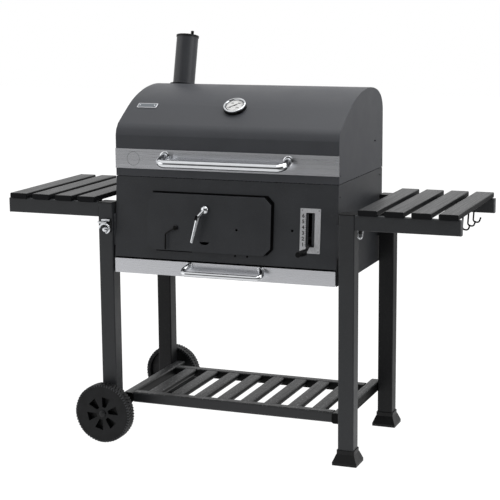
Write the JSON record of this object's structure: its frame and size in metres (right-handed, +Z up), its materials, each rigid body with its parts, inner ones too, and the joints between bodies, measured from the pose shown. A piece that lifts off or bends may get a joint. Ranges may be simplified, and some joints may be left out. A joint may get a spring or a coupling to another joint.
{
  "type": "charcoal barbecue trolley",
  "caption": "Wheeled charcoal barbecue with a long lidded firebox, chimney, height-adjustable ember tray, ash drawer, slatted side tables and a lower shelf.",
  "frame": {"origin": "on the floor, under the centre of the whole bounding box", "axes": "+X to the right as seen from the front, +Y to the back, +Z up; the front faces -Y"},
  "size_m": [1.4944, 0.6258, 1.2979],
  "materials": {
    "frame_paint": "satin charcoal powder coat",
    "body_paint": "satin anthracite heat-resistant paint",
    "lid_paint": "satin anthracite heat-resistant paint",
    "table_slat": "grey stained, grained",
    "shelf_slat": "dark grey stained, rough",
    "black_plastic": "fine-grained moulding",
    "wheel_plastic": "satin moulding",
    "stainless": "brushed",
    "chrome": "polished plating",
    "black_wire": "semi-gloss black",
    "enamel": "dark vitreous enamel",
    "dial": "matt white print",
    "needle": "matt black"
  },
  "bodies": {
    "trolley": {"axle": "chrome", "foot_front_right": "black_plastic", "foot_rear_right": "black_plastic", "leg_cap_front_left": "black_plastic", "leg_cap_front_right": "black_plastic", "leg_cap_rear_left": "black_plastic", "leg_cap_rear_right": "black_plastic", "leg_front_left": "frame_paint", "leg_front_right": "frame_paint", "leg_plug_front_left": "black_plastic", "leg_plug_rear_left": "black_plastic", "leg_rear_left": "frame_paint", "leg_rear_right": "frame_paint", "table_left_apron_front": "frame_paint", "table_left_apron_rear": "frame_paint", "table_left_slat_1": "table_slat", "table_left_slat_2": "table_slat", "table_left_slat_3": "table_slat", "table_left_slat_4": "table_slat", "table_right_apron_front": "frame_paint", "table_right_apron_rear": "frame_paint", "table_right_slat_1": "table_slat", "table_right_slat_2": "table_slat", "table_right_slat_3": "table_slat", "table_right_slat_4": "table_slat", "shelf_side_left": "shelf_slat", "shelf_side_right": "shelf_slat", "shelf_rack": "shelf_slat", "tool_hook_1": "black_wire", "tool_hook_2": "black_wire", "tool_hook_3": "black_wire", "firebox_shell": "body_paint", "scale_plate": "stainless", "cooking_grate_left": "enamel", "cooking_grate_right": "enamel", "lid_hinge_left": "frame_paint", "lid_hinge_right": "frame_paint", "bottle_opener": "chrome", "utility_loop": "chrome"},
    "lid": {"lid_shell": "lid_paint", "lid_strip": "stainless", "lid_handle": "chrome", "thermometer_case": "chrome", "thermometer_dial": "dial", "chimney_pipe": "body_paint"},
    "gauge_needle": {"thermometer_needle": "needle"},
    "damper": {"chimney_damper": "body_paint", "damper_knob": "black_plastic"},
    "door": {"charcoal_door": "body_paint"},
    "latch": {"door_latch": "chrome"},
    "vent": {"vent_lever": "black_wire"},
    "charcoal_bed": {"charcoal_tray": "enamel", "charcoal_lever": "black_wire"},
    "drawer": {"ash_drawer_tray": "enamel", "ash_drawer_front": "stainless", "ash_drawer_handle": "chrome"},
    "front_wheel": {"wheel_front": "wheel_plastic"},
    "rear_wheel": {"wheel_rear": "wheel_plastic"}
  },
  "joints": [
    {"name": "lid_hinge", "type": "hinge", "parent": "trolley", "child": "lid", "pos_m": [-0.00422, 0.2719, 0.861], "axis": [-1, 0, 0], "range_deg": [0, 78]},
    {"name": "needle_turn", "type": "hinge", "parent": "lid", "child": "gauge_needle", "pos_m": [-0.00422, -0.10854, 1.0805], "axis": [0, 0.5278, -0.8494], "range_deg": [0, 240]},
    {"name": "damper_turn", "type": "hinge", "parent": "lid", "child": "damper", "pos_m": [-0.30672, 0.22989, 1.27953], "axis": [0, 0.2419, 0.9703], "range_deg": [0, 60]},
    {"name": "door_hinge", "type": "hinge", "parent": "trolley", "child": "door", "pos_m": [-0.05122, -0.21834, 0.63534], "axis": [1, 0, 0], "range_deg": [0, 90]},
    {"name": "latch_turn", "type": "hinge", "parent": "door", "child": "latch", "pos_m": [-0.06072, -0.21923, 0.76702], "axis": [0, -0.9962, 0.0875], "range_deg": [-75, 30]},
    {"name": "vent_turn", "type": "hinge", "parent": "door", "child": "vent", "pos_m": [-0.15942, -0.22457, 0.70615], "axis": [0, 0.9962, -0.0875], "range_deg": [0, 45]},
    {"name": "charcoal_lift", "type": "slide", "parent": "trolley", "child": "charcoal_bed", "axis": [0, 0, 1], "range_m": [0, 0.088]},
    {"name": "drawer_slide", "type": "slide", "parent": "trolley", "child": "drawer", "axis": [0, -1, 0], "range_m": [0, 0.4]},
    {"name": "front_wheel_spin", "type": "hinge", "parent": "trolley", "child": "front_wheel", "pos_m": [-0.40722, -0.2531, 0.096], "axis": [0, 1, 0], "continuous": true},
    {"name": "rear_wheel_spin", "type": "hinge", "parent": "trolley", "child": "rear_wheel", "pos_m": [-0.40722, 0.2889, 0.096], "axis": [0, 1, 0], "continuous": true}
  ]
}
